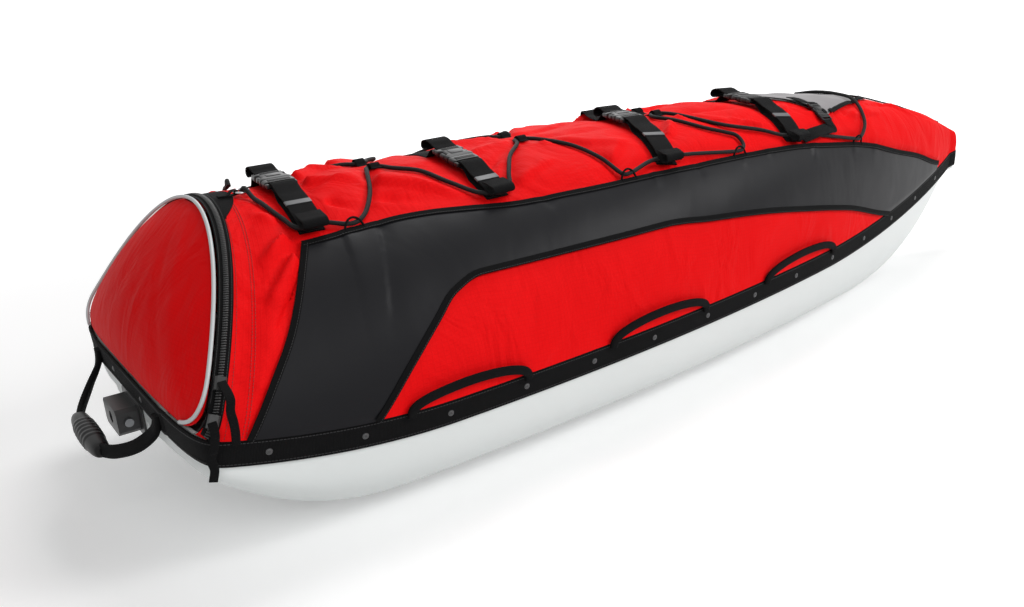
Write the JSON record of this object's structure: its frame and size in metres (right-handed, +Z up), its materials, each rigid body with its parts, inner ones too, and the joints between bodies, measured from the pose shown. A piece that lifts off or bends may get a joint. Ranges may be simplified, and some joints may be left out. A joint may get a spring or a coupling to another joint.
{
  "type": "pulk sled",
  "caption": "Pulk sled with a moulded hull, zipped and laced cover, buckled cross straps, side grab handles, a hinged stern flap and a carry handle.",
  "frame": {"origin": "on the ground under the middle of the part's whole length and width", "axes": "+X towards the bow, +Z up, -Y starboard"},
  "size_m": [1.7572, 0.5618, 0.4021],
  "materials": {
    "hull_shell": "glossy moulded polyethylene",
    "red_nylon": "woven red nylon",
    "coated_black": "coated black fabric, semi-gloss",
    "black_webbing": "woven black webbing and tape",
    "black_moulding": "moulded black plastic, fine grain",
    "grey_coated": "coated grey fabric",
    "reflective": "reflective cloth",
    "steel": "bright steel",
    "load": "packed bags, seen only from inside"
  },
  "bodies": {
    "sled": {"hull": "hull_shell", "rim_band": "black_webbing", "packed_load": "load", "cover_body": "red_nylon", "side_panel_starboard": "coated_black", "side_panel_port": "coated_black", "panel_binding_starboard": "black_webbing", "panel_binding_port": "black_webbing", "zip_tape": "black_webbing", "zip_coil": "black_moulding", "label_patch": "black_webbing", "strap_1_port": "black_webbing", "strap_1_starboard": "black_webbing", "buckle_1_socket": "black_moulding", "strap_2_port": "black_webbing", "strap_2_starboard": "black_webbing", "buckle_2_socket": "black_moulding", "strap_3_port": "black_webbing", "strap_3_starboard": "black_webbing", "buckle_3_socket": "black_moulding", "strap_4_port": "black_webbing", "strap_4_starboard": "black_webbing", "buckle_4_socket": "black_moulding", "bow_hood": "grey_coated", "hood_binding": "black_webbing", "hood_strap_upper": "black_webbing", "hood_strap_lower": "black_webbing", "hood_buckle_socket": "black_moulding", "lacing_cord_starboard": "black_webbing", "lacing_cord_port": "black_webbing", "ridge_tab_1": "black_webbing", "ridge_tab_2": "black_webbing", "ridge_tab_3": "black_webbing", "cord_ring": "steel", "cord_ring_webbing": "black_webbing", "bracket_plate": "black_moulding", "bracket_box": "black_moulding"},
    "stern_flap_part": {"stern_flap": "red_nylon", "flap_piping": "reflective"},
    "slider_lower": {"zip_slider_lower": "black_moulding"},
    "pull_lower": {"pull_tab_lower": "black_webbing"},
    "slider_upper": {"zip_slider_upper": "black_moulding"},
    "pull_upper": {"pull_tab_upper": "black_webbing"},
    "buckle_1_plug_part": {"buckle_1_plug": "black_moulding"},
    "buckle_2_plug_part": {"buckle_2_plug": "black_moulding"},
    "buckle_3_plug_part": {"buckle_3_plug": "black_moulding"},
    "buckle_4_plug_part": {"buckle_4_plug": "black_moulding"},
    "hood_buckle_plug_part": {"hood_buckle_plug": "black_moulding"},
    "handle_starboard_1": {"side_handle_starboard_1": "black_webbing"},
    "handle_starboard_2": {"side_handle_starboard_2": "black_webbing"},
    "handle_starboard_3": {"side_handle_starboard_3": "black_webbing"},
    "handle_port_1": {"side_handle_port_1": "black_webbing"},
    "handle_port_2": {"side_handle_port_2": "black_webbing"},
    "handle_port_3": {"side_handle_port_3": "black_webbing"},
    "carry_handle": {"carry_handle_webbing": "black_webbing", "carry_handle_grip": "black_moulding"},
    "pin": {"bracket_pin": "steel"}
  },
  "joints": [
    {"name": "stern_flap_hinge", "type": "hinge", "parent": "sled", "child": "stern_flap_part", "pos_m": [-0.81393, 0, 0.1903], "axis": [0, -1, 0], "range_deg": [0, 80]},
    {"name": "zip_slider_lower_slide", "type": "slide", "parent": "sled", "child": "slider_lower", "axis": [0.4618, 0.2651, 0.8464], "range_m": [0, 0.008]},
    {"name": "pull_tab_lower_swing", "type": "hinge", "parent": "slider_lower", "child": "pull_lower", "pos_m": [-0.78387, -0.273, 0.20878], "axis": [-1, 0, 0], "range_deg": [0, 110]},
    {"name": "zip_slider_upper_slide", "type": "slide", "parent": "sled", "child": "slider_upper", "axis": [0.4197, 0.5036, 0.7551], "range_m": [0, 0.018]},
    {"name": "pull_tab_upper_swing", "type": "hinge", "parent": "slider_upper", "child": "pull_upper", "pos_m": [-0.76336, -0.25524, 0.24175], "axis": [-1, 0, 0], "range_deg": [0, 110]},
    {"name": "buckle_1_release", "type": "slide", "parent": "sled", "child": "buckle_1_plug_part", "axis": [-0.0637, -0.9963, -0.0568], "range_m": [0, 0.034], "deforming": ["strap_1_starboard"]},
    {"name": "buckle_2_release", "type": "slide", "parent": "sled", "child": "buckle_2_plug_part", "axis": [-0.0104, -0.9837, -0.1795], "range_m": [0, 0.034], "deforming": ["strap_2_starboard"]},
    {"name": "buckle_3_release", "type": "slide", "parent": "sled", "child": "buckle_3_plug_part", "axis": [-0.2023, -0.9786, -0.0385], "range_m": [0, 0.034], "deforming": ["strap_3_starboard"]},
    {"name": "buckle_4_release", "type": "slide", "parent": "sled", "child": "buckle_4_plug_part", "axis": [-0.1005, -0.9925, -0.0696], "range_m": [0, 0.034], "deforming": ["strap_4_starboard"]},
    {"name": "hood_buckle_release", "type": "slide", "parent": "sled", "child": "hood_buckle_plug_part", "axis": [0, -0.8052, -0.593], "range_m": [0, 0.021], "deforming": ["hood_strap_lower"]},
    {"name": "side_handle_starboard_1_swing", "type": "hinge", "parent": "sled", "child": "handle_starboard_1", "pos_m": [-0.47115, -0.26884, 0.13329], "axis": [0.9997, 0.0208, -0.0129], "range_deg": [0, 75]},
    {"name": "side_handle_starboard_2_swing", "type": "hinge", "parent": "sled", "child": "handle_starboard_2", "pos_m": [-0.1473, -0.2488, 0.1322], "axis": [0.9949, 0.1013, 0], "range_deg": [0, 75]},
    {"name": "side_handle_starboard_3_swing", "type": "hinge", "parent": "sled", "child": "handle_starboard_3", "pos_m": [0.19337, -0.19925, 0.13221], "axis": [0.9826, 0.1855, 0.0001], "range_deg": [0, 75]},
    {"name": "side_handle_port_1_swing", "type": "hinge", "parent": "sled", "child": "handle_port_1", "pos_m": [-0.47115, 0.26884, 0.13329], "axis": [-0.9997, 0.0208, 0.0129], "range_deg": [0, 75]},
    {"name": "side_handle_port_2_swing", "type": "hinge", "parent": "sled", "child": "handle_port_2", "pos_m": [-0.1473, 0.2488, 0.1322], "axis": [-0.9949, 0.1013, 0], "range_deg": [0, 75]},
    {"name": "side_handle_port_3_swing", "type": "hinge", "parent": "sled", "child": "handle_port_3", "pos_m": [0.19337, 0.19925, 0.13221], "axis": [-0.9826, 0.1855, -0.0001], "range_deg": [0, 75]},
    {"name": "carry_handle_swing", "type": "hinge", "parent": "sled", "child": "carry_handle", "pos_m": [-0.81173, 0, 0.1807], "axis": [0, 1, 0], "range_deg": [0, 45]},
    {"name": "bracket_pin_slide", "type": "slide", "parent": "sled", "child": "pin", "axis": [0, -1, 0], "range_m": [0, 0.06]}
  ]
}
